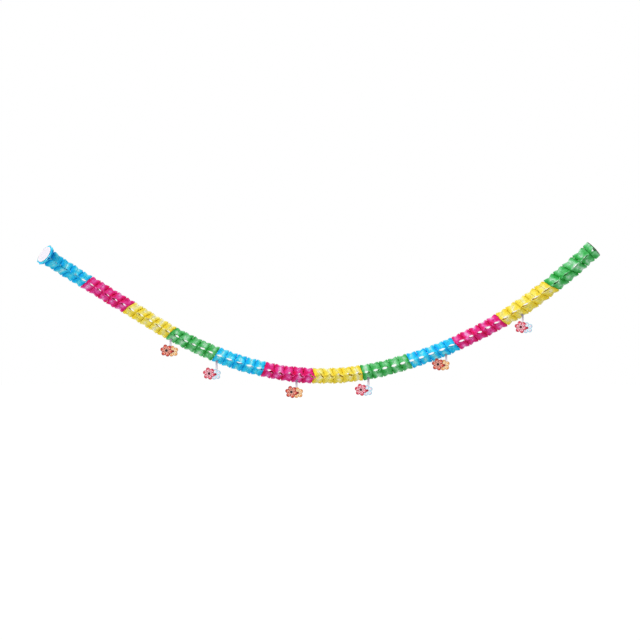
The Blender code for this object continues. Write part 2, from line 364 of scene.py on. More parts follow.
class GarlandStage(bpy.types.PropertyGroup):
    """Camera and light."""

    camera_distance: length_property("Camera distance", "From the camera to the garland", 14.0)
    view_width: length_property("View width", "Width of the picture at the garland", 4.134)
    key_strength: share_property("Key strength", "Light from the upper left", 2.2)
    back_strength: share_property("Back strength", "Light from behind", 0.8)
    sky_strength: share_property("Sky strength", "Even light from all sides", 0.42)
    floor_level: length_property("Floor level", "Height of the floor from the left card", -1.75)


def smooth(value):
    value = np.clip(value, 0.0, 1.0)
    return value * value * (3.0 - 2.0 * value)


def store(mesh, name, values):
    """Keeps a number or a vector for each of the mesh's points."""
    values = np.asarray(values, np.float32)
    kind, key = ("FLOAT", "value") if values.ndim == 1 else ("FLOAT_VECTOR", "vector")
    mesh.attributes.new(name, kind, "POINT").data.foreach_set(key, values.ravel())


class HangingLine:
    """The garland's centre line by plane number, with its directions and the rings' shape."""

    def __init__(self, sizes):
        lengths = np.linspace(0.0, GARLAND_LENGTH, AXIS_STEPS + 1)
        rise = np.arctan(np.interp(lengths / GARLAND_LENGTH, SLOPE_AT, SLOPES))
        turn = LEFT_TURN_ANGLE * np.clip(1.0 - lengths / LEFT_TURN_LENGTH, 0.0, 1.0)
        level = np.cos(rise)
        steps = np.stack((level * np.cos(turn), level * np.sin(turn), np.sin(rise)), axis=1)
        middles = 0.5 * (steps[1:] + steps[:-1]) * (GARLAND_LENGTH / AXIS_STEPS)
        points = np.concatenate((np.zeros((1, 3)), np.cumsum(middles, axis=0)))
        samples = (PLANE_COUNT - 1) * LINE_SAMPLES_PER_PLANE + 1
        numbers = np.arange(samples) / LINE_SAMPLES_PER_PLANE
        at = np.interp(numbers, np.arange(PLANE_COUNT), self.plane_lengths())
        self.numbers = numbers
        self.points = np.stack([np.interp(at, lengths, points[:, k]) for k in range(3)], axis=1)
        tangents = np.stack([np.interp(at, lengths, steps[:, k]) for k in range(3)], axis=1)
        self.tangents = tangents / np.linalg.norm(tangents, axis=1, keepdims=True)
        front = np.array((0.0, -1.0, 0.0)) - self.tangents * (-self.tangents[:, 1:2])
        self.fronts = front / np.linalg.norm(front, axis=1, keepdims=True)
        self.ups = np.cross(self.fronts, self.tangents)
        to_end = GARLAND_LENGTH - at
        self.widths = FULLER * (1.0 + RIGHT_WIDTH_GROWTH * self.right_share(at))
        left = np.maximum(1.0 - at / LEFT_FLARE_LENGTH, 0.0) ** FLARE_CURVE
        right = np.maximum(1.0 - to_end / RIGHT_FLARE_LENGTH, 0.0) ** FLARE_CURVE
        self.opens = left + RIGHT_FLARE_SHARE * right
        self.skews = sizes.middle_skew * smooth(1.0 - np.abs(at - MIDDLE_AT) / MIDDLE_REACH)
        self.leans = sizes.lean * np.tan(np.radians(np.interp(at, LEAN_AT, LEANS)))
        self.pinches = sizes.pinch * np.interp(at, PINCH_AT, PINCHES)
        self.flaps = np.interp(at, FLAP_AT, FLAP_SHIFTS)
        self.pitches = np.gradient(at, numbers)
        self.loose = smooth(at / CARD_HOLD_LENGTH) * smooth(to_end / CARD_HOLD_LENGTH)
        self.slants = np.tan(SLANT_SHARE * np.arcsin(self.tangents[:, 2])) * self.loose

    @staticmethod
    def right_share(length):
        start = GARLAND_LENGTH - RIGHT_GROWTH_LENGTH
        return smooth((length - start) / (0.5 * RIGHT_GROWTH_LENGTH))

    def plane_lengths(self):
        first = CARD_THICKNESS + CARD_CLEARANCE + TISSUE_WALL
        last = GARLAND_LENGTH - first
        at = first + (last - first) * np.linspace(0.0, 1.0, PLANE_COUNT - 2)
        left = smooth(2.0 * (1.0 - at / LEFT_GROWTH_LENGTH))
        sizes = 1.0 + LEFT_PITCH_GROWTH * left + RIGHT_PITCH_GROWTH * self.right_share(at)
        inner = np.concatenate(((0.0,), np.cumsum(0.5 * (sizes[1:] + sizes[:-1]))))
        inner = inner / inner[-1]
        start = first + END_SHEET_RISE
        end = last - END_SHEET_RISE
        return np.concatenate(((first,), start + (end - start) * inner, (last,)))

    def at(self, table, number):
        if table.ndim == 1:
            return float(np.interp(number, self.numbers, table))
        return Vector([float(np.interp(number, self.numbers, table[:, k])) for k in range(3)])

    def place(self, number, forward, upward):
        """A point beside the line at a plane number, forward and upward of it."""
        front = self.at(self.fronts, number)
        up = self.at(self.ups, number)
        ahead = self.at(self.leans, number) * forward - self.at(self.slants, number) * upward
        shift = ahead / self.at(self.pitches, number)
        return self.at(self.points, number + shift) + front * forward + up * upward

    def make_mesh(self):
        """The line as mesh points that carry its directions and shares as attributes."""
        mesh = bpy.data.meshes.new("hanging_line")
        mesh.from_pydata(self.points.tolist(), [], [])
        store(mesh, "front", self.fronts)
        store(mesh, "up", self.ups)
        store(mesh, "shape", np.stack((self.widths, self.opens, self.pinches), axis=1))
        store(mesh, "shift", np.stack((self.pitches, self.leans, self.slants), axis=1))
        store(mesh, "twist", np.stack((self.skews, self.loose, self.flaps), axis=1))
        return mesh


def cut_radius(angles):
    """Outer radius of the cut ring: a straight lobe end, then a straight cut to the notch."""
    corner = np.array((CUT_LOBE, CUT_LOBE_HALF_WIDTH))
    notch = np.array((math.cos(math.pi / 4), math.sin(math.pi / 4))) * CUT_NOTCH
    step = notch - corner
    cosine, sine = np.cos(angles), np.sin(angles)
    across = step[0] * sine - step[1] * cosine
    share = (corner[1] * cosine - corner[0] * sine) / across
    beyond = (corner[0] + share * step[0]) * cosine + (corner[1] + share * step[1]) * sine
    on_end = np.tan(angles) * CUT_LOBE <= CUT_LOBE_HALF_WIDTH
    return np.where(on_end, CUT_LOBE / cosine, beyond)


def spring_pairs(grid):
    """Pairs of points that keep their distance, with the stiffness of each pair."""
    firm = (
        (grid[:-1], grid[1:]),
        (grid[:, :-1], grid[:, 1:]),
        (grid[:-1, :-1], grid[1:, 1:]),
        (grid[1:, :-1], grid[:-1, 1:]),
    )
    soft = ((grid[:-2], grid[2:]), (grid[:, :-2], grid[:, 2:]), (grid[:-4], grid[4:]))
    pairs = [(*pair, 1.0) for pair in firm] + [(*pair, FOLD_STIFFNESS) for pair in soft]
    firsts = np.concatenate([first.ravel() for first, _, _ in pairs])
    seconds = np.concatenate([second.ravel() for _, second, _ in pairs])
    return firsts, seconds, np.concatenate([np.full(first.size, k) for first, _, k in pairs])


def relax_eighth(steps):
    """One eighth of a ring, from a lobe's middle to a notch's, pulled between its glued edges.

    Returns the relaxed points and the flat ones. x lies along the lobe's middle line and z rises
    from the glued lobe end, at 0, to the glued inner edge at the notch.
    """
    angles = np.linspace(0.0, math.pi / 4, RING_STEPS_ROUND + 1)
    shares = np.linspace(0.0, 1.0, RING_STEPS_ACROSS + 1)
    swing = 0.5 * (1.0 + np.cos(4.0 * angles))
    outer = cut_radius(angles)
    inner = CUT_NOTCH_INNER + (CUT_LOBE_INNER - CUT_NOTCH_INNER) * swing
    radii = inner[:, None] + (outer - inner)[:, None] * shares[None, :]
    across = radii * np.cos(angles)[:, None]
    along = radii * np.sin(angles)[:, None]
    flat = np.stack((across, along, np.zeros_like(radii)), axis=-1)
    pulled = flat.copy()
    pulled[..., 2] = 0.5 * HALF_PITCH * ((1.0 - swing)[:, None] + (1.0 - shares)[None, :])
    lobe_glue = np.zeros(radii.shape, bool)
    lobe_glue[:, -1] = flat[:, -1, 1] <= CUT_LOBE_HALF_WIDTH + GLUE_TOLERANCE
    notch_glue = np.zeros(radii.shape, bool)
    from_middle = np.abs(flat[:, 0, 0] - flat[:, 0, 1]) / math.sqrt(2.0)
    notch_glue[:, 0] = from_middle <= NOTCH_GLUE_HALF_WIDTH
    grid = np.arange(radii.size).reshape(radii.shape)
    first, second, stiffness = spring_pairs(grid)
    rest = np.linalg.norm(flat.reshape(-1, 3)[first] - flat.reshape(-1, 3)[second], axis=1)
    count = radii.size
    weight = np.bincount(first, stiffness, count) + np.bincount(second, stiffness, count)
    across_notch = np.array((1.0, -1.0, 0.0)) / math.sqrt(2.0)
    points = pulled.reshape(-1, 3)
    before = points.copy()
    for _ in range(steps):
        motion = (points - before) * MOTION_KEPT
        before = points.copy()
        points = points + motion
        for _ in range(RELAX_PASSES):
            gap = points[first] - points[second]
            length = np.linalg.norm(gap, axis=1) + NO_LENGTH
            pull = ((0.5 * stiffness * (length - rest) / length)[:, None] * gap).T
            change = [np.bincount(second, k, count) - np.bincount(first, k, count) for k in pull]
            points = points + np.stack(change, axis=1) / weight[:, None] * CORRECTION_GAIN
            points[grid[0], 1] = 0.0
            points[grid[-1]] -= (points[grid[-1]] @ across_notch)[:, None] * across_notch
            points[lobe_glue.ravel(), 2] = 0.0
            points[notch_glue.ravel(), 2] = HALF_PITCH
            points[:, 2] = np.clip(points[:, 2], 0.0, HALF_PITCH)
    return points.reshape(flat.shape), flat


def make_ring_mesh(steps):
    """A whole ring of eight mirrored eighths. x is forward, y up, and z is 0 at the lobes' glue."""
    pulled, flat = relax_eighth(steps)
    across = RING_STEPS_ACROSS + 1
    round_lobe = 2 * RING_STEPS_ROUND
    places = []
    cuts = []
    for column in range(LOBE_COUNT * round_lobe):
        lobe, step = divmod(column, round_lobe)
        mirrored = step > RING_STEPS_ROUND
        row, side = (round_lobe - step, -1.0) if mirrored else (step, 1.0)
        turn = math.tau * (lobe + 0.5 + mirrored) / LOBE_COUNT
        for table, kept in ((pulled, places), (flat, cuts)):
            x, y, z = table[row, :, 0], side * table[row, :, 1], table[row, :, 2] / HALF_PITCH
            forward = x * math.cos(turn) - y * math.sin(turn)
            upward = x * math.sin(turn) + y * math.cos(turn)
            kept.append(np.stack((forward, upward, z), axis=-1))
    columns = len(places)
    places = np.concatenate(places)
    cuts = np.concatenate(cuts)
    faces = []
    for column in range(columns):
        for k in range(RING_STEPS_ACROSS):
            a = column * across + k
            b = (column + 1) % columns * across + k
            faces.append((a, a + 1, b + 1, b))
    mesh = bpy.data.meshes.new("tissue_ring")
    mesh.from_pydata(places.tolist(), [], faces)
    outward = np.tile(np.arange(across) / RING_STEPS_ACROSS, columns)
    far = cuts[:, 0] ** 2 / (cuts[:, 0] ** 2 + cuts[:, 1] ** 2)
    store(mesh, "as_cut", cuts)
    store(mesh, "outward_share", outward)
    store(mesh, "from_lobe", places[:, 2])
    store(mesh, "flap", outward**2 * smooth(2.0 * far - 1.0))
    return mesh


class Wire:
    """A node's output. Signs between it and a number or another output make maths nodes."""

    def __init__(self, tree, socket):
        self.tree = tree
        self.socket = socket

    def __add__(self, other):
        return maths("ADD", self, other)

    def __sub__(self, other):
        return maths("SUBTRACT", self, other)

    def __rsub__(self, other):
        return maths("SUBTRACT", other, self)

    def __mul__(self, other):
        return maths("MULTIPLY", self, other)

    def __truediv__(self, other):
        return maths("DIVIDE", self, other)

    def __rtruediv__(self, other):
        return maths("DIVIDE", other, self)

    def __pow__(self, other):
        return maths("POWER", self, other)

    def __abs__(self):
        return maths("ABSOLUTE", self)


class Outputs:
    """A new node's outputs, by name or number."""

    def __init__(self, tree, node):
        self.tree = tree
        self.node = node

    def __getitem__(self, name):
        return Wire(self.tree, self.node.outputs[name])


def add_node(tree, kind, inputs=None, **settings):
    """Makes a node with its settings, and with values or outputs for its inputs."""
    node = tree.nodes.new(kind)
    for name, value in settings.items():
        setattr(node, name, value)
    for name, value in (inputs or {}).items():
        if isinstance(value, Wire):
            tree.links.new(value.socket, node.inputs[name])
        else:
            node.inputs[name].default_value = value
    return Outputs(tree, node)


def new_tree(name, kind, inputs, outputs):
    """A node group with named sockets, and the outputs of its input node."""
    tree = bpy.data.node_groups.new(name, kind)
    for in_out, sockets in (("INPUT", inputs), ("OUTPUT", outputs)):
        for label, socket in sockets.items():
            tree.interface.new_socket(label, in_out=in_out, socket_type="NodeSocket" + socket)
    return tree, add_node(tree, "NodeGroupInput")


def maths(operation, *values):
    tree = next(value.tree for value in values if isinstance(value, Wire))
    return add_node(tree, "ShaderNodeMath", dict(enumerate(values)), operation=operation)[0]


def vectors(operation, *values, tree=None):
    tree = tree or next(value.tree for value in values if isinstance(value, Wire))
    made = add_node(tree, "ShaderNodeVectorMath", dict(enumerate(values)), operation=operation)
    return made["Value" if operation == "LENGTH" else "Vector"]


def scaled(vector, factor):
    inputs = {0: vector, "Scale": factor}
    return add_node(vector.tree, "ShaderNodeVectorMath", inputs, operation="SCALE")["Vector"]


def between(first, second, share):
    """first where share is 0 and second where it is 1."""
    gap = vectors("SUBTRACT", second, first, tree=share.tree)
    return vectors("ADD", first, scaled(gap, share))


def ramp(value, start, end, **settings):
    """0 where the value is at the start and 1 where it is at the end."""
    inputs = {"Value": value, "From Min": start, "From Max": end}
    return add_node(value.tree, "ShaderNodeMapRange", inputs, **settings)["Result"]


def separate(vector):
    return add_node(vector.tree, "ShaderNodeSeparateXYZ", {0: vector})


def named(tree, name, kind="FLOAT_VECTOR"):
    """An attribute in a geometry tree."""
    node = add_node(tree, "GeometryNodeInputNamedAttribute", {"Name": name}, data_type=kind)
    return node["Attribute"]


def stored(geometry, name, value):
    """The geometry with a number for each of its points."""
    return add_node(
        geometry.tree,
        "GeometryNodeStoreNamedAttribute",
        {"Geometry": geometry, "Name": name, "Value": value},
        data_type="FLOAT",
        domain="POINT",
    )["Geometry"]


def sample_line(line, values, number):
    """The line's values at a plane number that need not be whole."""
    index = number * float(LINE_SAMPLES_PER_PLANE)
    whole = maths("FLOOR", index)
    found = [
        add_node(
            number.tree,
            "GeometryNodeSampleIndex",
            {"Geometry": line, "Value": values, "Index": whole + step},
            data_type="FLOAT_VECTOR",
            domain="POINT",
            clamp=True,
        )["Value"]
        for step in (0.0, 1.0)
    ]
    return between(*found, index - whole)


def noise_shift(place, size, depth, seed):
    """A smooth push in all directions that depends only on the place."""
    inputs = {"Vector": place, "W": seed, "Scale": 1.0 / size, "Detail": 1.0}
    made = add_node(place.tree, "ShaderNodeTexNoise", inputs, noise_dimensions="4D")
    return scaled(vectors("SUBTRACT", made["Color"], (0.5, 0.5, 0.5)), depth * 2.0)


TISSUE_INPUTS = {
    "Ring": "Geometry",
    "Hanging Line": "Object",
    "First Plane": "Int",
    "Rings": "Int",
    "Spread On Card": "Float",
    "Pinched Height": "Float",
    "Crinkle Depth": "Float",
    "Crinkle Size": "Float",
    "Sway Depth": "Float",
    "Sway Size": "Float",
    "Seed": "Int",
    "Paper": "Material",
}


def make_tissue_tree():
    """Copies the ring along the hanging line, every other one turned over, and places it."""
    tree, given = new_tree(
        "tissue_section", "GeometryNodeTree", TISSUE_INPUTS, {"Tissue": "Geometry"}
    )
    line = add_node(tree, "GeometryNodeObjectInfo", {"Object": given["Hanging Line"]})["Geometry"]

    # One copy of the ring for each gap between glue planes
    row = add_node(
        tree, "GeometryNodeMeshLine", {"Count": given["Rings"], "Offset": (0.0, 0.0, 0.0)}
    )
    numbers = add_node(tree, "GeometryNodeInputIndex")["Index"]
    copies = add_node(
        tree,
        "GeometryNodeInstanceOnPoints",
        {"Points": stored(row["Mesh"], "ring_number", numbers), "Instance": given["Ring"]},
    )
    real = add_node(tree, "GeometryNodeRealizeInstances", {"Geometry": copies["Instances"]})

    # Plane number of each point: every other ring has its lobes at the lower plane
    number = named(tree, "ring_number", "FLOAT") + given["First Plane"]
    odd = maths("MODULO", number, 2.0)
    here = add_node(tree, "GeometryNodeInputPosition")["Position"]
    rise = separate(here)["Z"]
    turned = 1.0 - rise
    plane = number + (turned + odd * (rise - turned))

    # Offset from the line: between the pulled shape and the cut one that the end card holds open
    shape = separate(sample_line(line, named(tree, "shape"), plane))
    shift = separate(sample_line(line, named(tree, "shift"), plane))
    twist = separate(sample_line(line, named(tree, "twist"), plane))
    pulled = scaled(vectors("MULTIPLY", here, (1.0, 1.0, 0.0)), shape["X"])
    spread = scaled(named(tree, "as_cut"), given["Spread On Card"])
    offset = between(pulled, spread, shape["Y"])
    bow = rise * turned * 4.0
    skew = twist["X"] * (bow * (1.0 - odd * 2.0))
    skewed = add_node(
        tree, "ShaderNodeVectorRotate", {"Vector": offset, "Angle": skew}, rotation_type="Z_AXIS"
    )
    away = separate(skewed["Vector"])
    forward = away["X"]
    upward = away["Y"]

    # Pinch: edges near the level of the line come closer to it
    near = maths("MAXIMUM", 1.0 - abs(upward) / given["Pinched Height"], 0.0)
    upward = upward * (1.0 - shape["Z"] * near**PINCH_CURVE)

    # Lean and slant: points in front of the line, and below it where it climbs, lie further along
    ahead = shift["Y"] * forward - shift["Z"] * upward
    ahead = ahead + twist["Z"] * named(tree, "flap", "FLOAT")
    line_place = add_node(tree, "GeometryNodeInputPosition")["Position"]
    centre = sample_line(line, line_place, plane + ahead / shift["X"])
    front = sample_line(line, named(tree, "front"), plane)
    up = sample_line(line, named(tree, "up"), plane)
    placed = vectors("ADD", centre, vectors("ADD", scaled(front, forward), scaled(up, upward)))

    # Crinkles and sway push glued neighbours alike, so that they stay joined
    crinkle = noise_shift(placed, given["Crinkle Size"], given["Crinkle Depth"], given["Seed"])
    sway = noise_shift(placed, given["Sway Size"], given["Sway Depth"], given["Seed"])
    push = scaled(vectors("ADD", crinkle, sway), twist["Y"])
    laid = add_node(
        tree,
        "GeometryNodeSetPosition",
        {"Geometry": real["Geometry"], "Position": vectors("ADD", placed, push)},
    )

    # Marks the edges of the holes that are drawn shut, where the material paints shade into the
    # slits
    slit = ramp(shape["Z"], *SLIT_SHADE_FROM) * ramp(turned, 0.0, SLIT_SHADE_GLUE_SHARE)
    slit = slit * ramp(shape["Z"], *SLIT_SHADE_UP_TO) * near**SLIT_SHADE_CURVE
    marked = stored(laid["Geometry"], "slit", slit)
    soft = add_node(tree, "GeometryNodeSetShadeSmooth", {"Geometry": marked})
    whole = add_node(tree, "GeometryNodeRealizeInstances", {"Geometry": soft["Geometry"]})
    papered = add_node(
        tree,
        "GeometryNodeSetMaterial",
        {"Geometry": whole["Geometry"], "Material": given["Paper"]},
    )
    add_node(tree, "NodeGroupOutput", {"Tissue": papered["Geometry"]})
    return tree


def link_object(name, data):
    thing = bpy.data.objects.new(name, data)
    bpy.context.scene.collection.objects.link(thing)
    return thing


def set_inputs(modifier, values):
    """Sets a Geometry Nodes modifier's inputs by the names in its tree."""
    for item in modifier.node_group.interface.items_tree:
        if item.item_type == "SOCKET" and item.name in values:
            modifier[item.identifier] = values[item.name]


def finish_mesh(name, shape):
    mesh = bpy.data.meshes.new(name)
    shape.to_mesh(mesh)
    shape.free()
    mesh.shade_smooth()
    return mesh


def thicken(piece, name, thickness, offset):
    wall = piece.modifiers.new(name, "SOLIDIFY")
    wall.thickness = thickness
    wall.offset = offset
    return wall


def new_material(name):
    material = bpy.data.materials.new(name)
    material.use_nodes = True
    material.node_tree.nodes.clear()
    return material, material.node_tree


def finish_material(material, shader, behind=None, share=0.0):
    surface = shader[0]
    if behind is not None:
        inputs = {0: share, 1: surface, 2: behind[0]}
        surface = add_node(surface.tree, "ShaderNodeMixShader", inputs)[0]
    add_node(surface.tree, "ShaderNodeOutputMaterial", {"Surface": surface})
    return material


def object_place(tree):
    return add_node(tree, "ShaderNodeTexCoord")["Object"]


def attribute(tree, name, output="Fac"):
    """An attribute in a material."""
    return add_node(tree, "ShaderNodeAttribute", attribute_name=name)[output]


def noise(place, scale, **inputs):
    inputs = {"Vector": place, "Scale": scale, **inputs}
    return add_node(place.tree, "ShaderNodeTexNoise", inputs)["Fac"]


def paper_fibre_group():
    """Mottled colour, roughness and the height of fibres and crinkles, at a place in metres."""
    name = "paper_fibre"
    if name in bpy.data.node_groups:
        return bpy.data.node_groups[name]
    group, given = new_tree(
        name,
        "ShaderNodeTree",
        {"Place": "Vector", "Colour": "Color", "Mottle": "Float", "Crinkle": "Float"},
        {"Colour": "Color", "Roughness": "Float", "Height": "Float"},
    )
    fibre = noise(given["Place"], FIBRE_SCALE, Detail=3.0, Roughness=0.6)
    patch = noise(given["Place"], MOTTLE_SCALE, Detail=2.0, Distortion=0.6)
    crease = add_node(
        group,
        "ShaderNodeTexVoronoi",
        {"Vector": given["Place"], "Scale": CREASE_SCALE, "Randomness": 1.0},
        feature="DISTANCE_TO_EDGE",
    )["Distance"]
    ridge = ramp(crease, 0.0, CREASE_WIDTH, interpolation_type="SMOOTHSTEP")
    swing = (fibre * FIBRE_IN_COLOUR + patch * PATCH_IN_COLOUR - 1.0) * given["Mottle"]
    results = {
        "Colour": scaled(given["Colour"], swing + 1.0),
        "Roughness": fibre * FIBRE_IN_ROUGHNESS + LEAST_ROUGHNESS,
        "Height": (ridge + patch) * given["Crinkle"] + fibre * FIBRE_HEIGHT,
    }
    add_node(group, "NodeGroupOutput", results)
    return group


def shaded_tissue_group():
    """Colour of the sheets, deeper with each layer counted behind: painted shade inside the tube
    and away from the lobes, random patches, and painted shade in the slits.
    """
    name = "stacked_tissue"
    if name in bpy.data.node_groups:
        return bpy.data.node_groups[name]
    inputs = {
        "Place": "Vector",
        "Outward": "Float",
        "From Lobe": "Float",
        "Slit Shade": "Float",
        "One Layer": "Color",
    }
    group, given = new_tree(name, "ShaderNodeTree", inputs, {"Colour": "Color"})
    patch = noise(given["Place"], STACK_SCALE, Detail=2.0, Roughness=0.55)
    # Painted shade: deeper towards the inner edge and towards the notch glue; the noise patches
    # deepen it at random
    inside = ramp(given["Outward"], *INSIDE_SHADE_FROM, interpolation_type="SMOOTHSTEP")
    layers = inside * INNER_SHADE_LAYERS + FEWEST_LAYERS
    layers = layers + ramp(patch, *STACK_PATCHES) * PATCH_LAYERS
    layers = layers + given["From Lobe"] ** 2.0 * FOLD_SHADE_LAYERS
    shaded = add_node(
        group, "ShaderNodeGamma", {"Color": given["One Layer"], "Gamma": layers}
    )["Color"]
    # Painted shade in the slits: the colour darkens where the slits are marked
    limits = {"From Max": SLIT_SHADE_FULL_AT, "To Min": 1.0, "To Max": SLIT_SHADE_LEVEL}
    shade = add_node(group, "ShaderNodeMapRange", {"Value": given["Slit Shade"], **limits})["Result"]
    add_node(group, "NodeGroupOutput", {"Colour": scaled(shaded, shade)})
    return group


def add_paper(place, colour, mottle, crinkle, bump=None, **others):
    """A paper shader with its colour and normal, from fibres and creases at a place."""
    tree = place.tree
    fibre = add_node(
        tree,
        "ShaderNodeGroup",
        {"Place": place, "Colour": colour, "Mottle": mottle, "Crinkle": crinkle},
        node_tree=paper_fibre_group(),
    )
    inputs = {"Base Color": fibre["Colour"], "Roughness": fibre["Roughness"]}
    if bump is not None:
        heights = {"Strength": bump[0], "Distance": bump[1], "Height": fibre["Height"]}
        inputs["Normal"] = add_node(tree, "ShaderNodeBump", heights)["Normal"]
    inputs.update(others)
    return add_node(tree, "ShaderNodeBsdfPrincipled", inputs), inputs


def make_tissue_material(name, colour):
    """Thin tissue that scatters light back and lets some through."""
    material, tree = new_material(name)
    place = object_place(tree)
    inputs = {
        "Place": place,
        "Outward": attribute(tree, "outward_share"),
        "From Lobe": attribute(tree, "from_lobe"),
        "Slit Shade": attribute(tree, "slit"),
        "One Layer": (*colour, 1.0),
    }
    # The colour carries painted shade inside the tube, at the folds and in the slits
    shaded = add_node(tree, "ShaderNodeGroup", inputs, node_tree=shaded_tissue_group())
    shader, used = add_paper(
        place,
        shaded["Colour"],
        TISSUE_MOTTLE,
        1.0,
        TISSUE_BUMP,
        **{"Specular IOR Level": TISSUE_SPECULAR},
    )
    through = add_node(
        tree,
        "ShaderNodeBsdfTranslucent",
        {"Color": used["Base Color"], "Normal": used["Normal"]},
    )
    return finish_material(material, shader, through, TISSUE_SHOWN_THROUGH)


class GARLAND_OT_make_tissue(bpy.types.Operator):
    """Relax one tissue ring and copy it into the twelve coloured sections"""

    bl_idname = "garland.make_tissue"
    bl_label = "Make Tissue"

    def execute(self, context):
        sizes = context.scene.garland_sizes
        colours = context.scene.garland_colours
        ring = make_ring_mesh(RELAX_STEPS)
        line = link_object("hanging_line", HangingLine(sizes).make_mesh())
        tree = make_tissue_tree()
        papers = {
            name: make_tissue_material(f"{name}_tissue_paper", getattr(colours, name))
            for name in SECTION_COLOURS
        }
        for section in range(SECTION_COUNT):
            colour = SECTION_COLOURS[section % len(SECTION_COLOURS)]
            node = f"tissue_{section + 1:02d}_{colour}"
            source = link_object(node + "_source", ring)
            rings = source.modifiers.new("rings", "NODES")
            rings.node_group = tree
            set_inputs(
                rings,
                {
                    "Hanging Line": line,
                    "First Plane": RINGS_PER_SECTION * section,
                    "Rings": RINGS_PER_SECTION,
                    "Spread On Card": SPREAD_ON_CARD,
                    "Pinched Height": PINCHED_HEIGHT,
                    "Crinkle Depth": sizes.crinkle_depth,
                    "Crinkle Size": sizes.crinkle_size,
                    "Sway Depth": sizes.sway_depth,
                    "Sway Size": sizes.sway_size,
                    "Seed": sizes.seed,
                    "Paper": papers[colour],
                },
            )
            found = source.evaluated_get(context.evaluated_depsgraph_get())
            mesh = bpy.data.meshes.new_from_object(found)
            bpy.data.objects.remove(source, do_unlink=True)
            if len(mesh.polygons) < len(ring.polygons) * RINGS_PER_SECTION:
                raise RuntimeError(f"{node}: the rings were not all made")
            piece = link_object(node + "_rings", mesh)
            thicken(piece, "sheet", sizes.sheet_thickness, 0.0)
            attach(piece, BODY)
            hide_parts(node)
        bpy.data.objects.remove(line, do_unlink=True)
        return {"FINISHED"}


def card_profile():
    """Radius and depth of the outer face, from its middle, and round to the inner face."""
    radius = 0.5 * CARD_DIAMETER
    return (
        (0.0, 0.0),
        (0.5 * radius, 0.0),
        (CARD_RIM_FROM - CARD_GROOVE_HALF_WIDTH, 0.0),
        (CARD_RIM_FROM, CARD_GROOVE_DEPTH),
        (CARD_RIM_FROM + CARD_GROOVE_HALF_WIDTH, 0.0),
        (radius - CARD_EDGE_ROUND, 0.0),
        (radius, CARD_EDGE_ROUND),
        (radius, CARD_THICKNESS - CARD_EDGE_ROUND),
        (radius - CARD_EDGE_ROUND, CARD_THICKNESS),
        (0.5 * radius, CARD_THICKNESS),
        (0.0, CARD_THICKNESS),
    )


def store_place(mesh):
    """Keeps the mesh's own coordinates as an attribute that its pattern follows."""
    places = np.zeros(3 * len(mesh.vertices), np.float32)
    mesh.vertices.foreach_get("co", places)
    store(mesh, "card_place", places.reshape(-1, 3))


def make_card_mesh(name):
    """A disc spun from its profile, with its outer face towards -Z."""
    shape = bmesh.new()
    line = [shape.verts.new((radius, 0.0, depth)) for radius, depth in card_profile()]
    edges = [shape.edges.new(pair) for pair in zip(line, line[1:])]
    bmesh.ops.spin(
        shape,
        geom=line + edges,
        cent=(0.0, 0.0, 0.0),
        axis=(0.0, 0.0, 1.0),
        angle=math.tau,
        steps=CARD_SIDES,
        use_merge=True,
    )
    bmesh.ops.remove_doubles(shape, verts=shape.verts, dist=CARD_MERGE)
    bmesh.ops.recalc_face_normals(shape, faces=shape.faces)
    mesh = finish_mesh(name, shape)
    store_place(mesh)
    mesh.set_sharp_from_angle(angle=CARD_SHARP_ANGLE)
    return mesh


def make_card_material(name, face_colour, rim_colour):
    """Matt card with a paler rim outside the pressed line."""
    material, tree = new_material(name)
    place = attribute(tree, "card_place", "Vector")
    reach = vectors("LENGTH", vectors("MULTIPLY", place, (1.0, 1.0, 0.0)))
    rim = ramp(reach, CARD_RIM_FROM - CARD_RIM_BLEND, CARD_RIM_FROM + CARD_RIM_BLEND)
    colour = between(face_colour, rim_colour, rim)
    shader, _ = add_paper(place, colour, *CARD_PAPER, CARD_BUMP)
    return finish_material(material, shader)


class GARLAND_OT_make_end_cards(bpy.types.Operator):
    """Make the round card at each end"""

    bl_idname = "garland.make_end_cards"
    bl_label = "Make End Cards"

    def execute(self, context):
        colours = context.scene.garland_colours
        material = make_card_material(
            "end_card_paper", tuple(colours.card_face), tuple(colours.card_rim)
        )
        line = HangingLine(context.scene.garland_sizes)
        clear = CARD_THICKNESS + CARD_CLEARANCE + TISSUE_WALL
        ends = (("end_card_left", 0, 1.0), ("end_card_right", PLANE_COUNT - 1, -1.0))
        for node, number, inward in ends:
            tangent = line.at(line.tangents, number) * inward
            front = line.at(line.fronts, number)
            outer = line.at(line.points, number) - tangent * clear
            turn = Matrix((front.cross(tangent), -front, tangent)).transposed().to_4x4()
            mesh = make_card_mesh(node + "_disc")
            mesh.transform(Matrix.Translation(outer) @ turn)
            mesh.materials.append(material)
            piece = link_object(node + "_disc", mesh)
            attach(piece, BODY)
            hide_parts(node)
        return {"FINISHED"}


def flower_reach(radius, petals, angle):
    lobe = abs(math.cos(0.5 * petals * angle)) ** PETAL_ROUNDNESS
    return radius * (1.0 - PETAL_DEPTH * (1.0 - lobe))


def add_flower_layer(shape, centre, radius, petals, turn, forward, curl):
    """A flower as rings of faces round its centre, with its petal tips curled forward."""
    count = petals * FLOWER_POINTS_PER_PETAL
    middle = shape.verts.new((centre[0], -forward, centre[1]))
    before = [middle] * count
    for ring in range(1, FLOWER_RINGS + 1):
        share = ring / FLOWER_RINGS
        row = []
        for number in range(count):
            angle = math.tau * number / count
            reach = share * flower_reach(radius, petals, angle)
            lift = curl * (reach / radius) ** 3
            across = centre[0] + reach * math.sin(angle + turn)
            upward = centre[1] + reach * math.cos(angle + turn)
            row.append(shape.verts.new((across, -forward - lift, upward)))
        for number in range(count):
            after = (number + 1) % count
            if ring == 1:
                shape.faces.new((middle, row[after], row[number]))
            else:
                shape.faces.new((before[number], before[after], row[after], row[number]))
        before = row


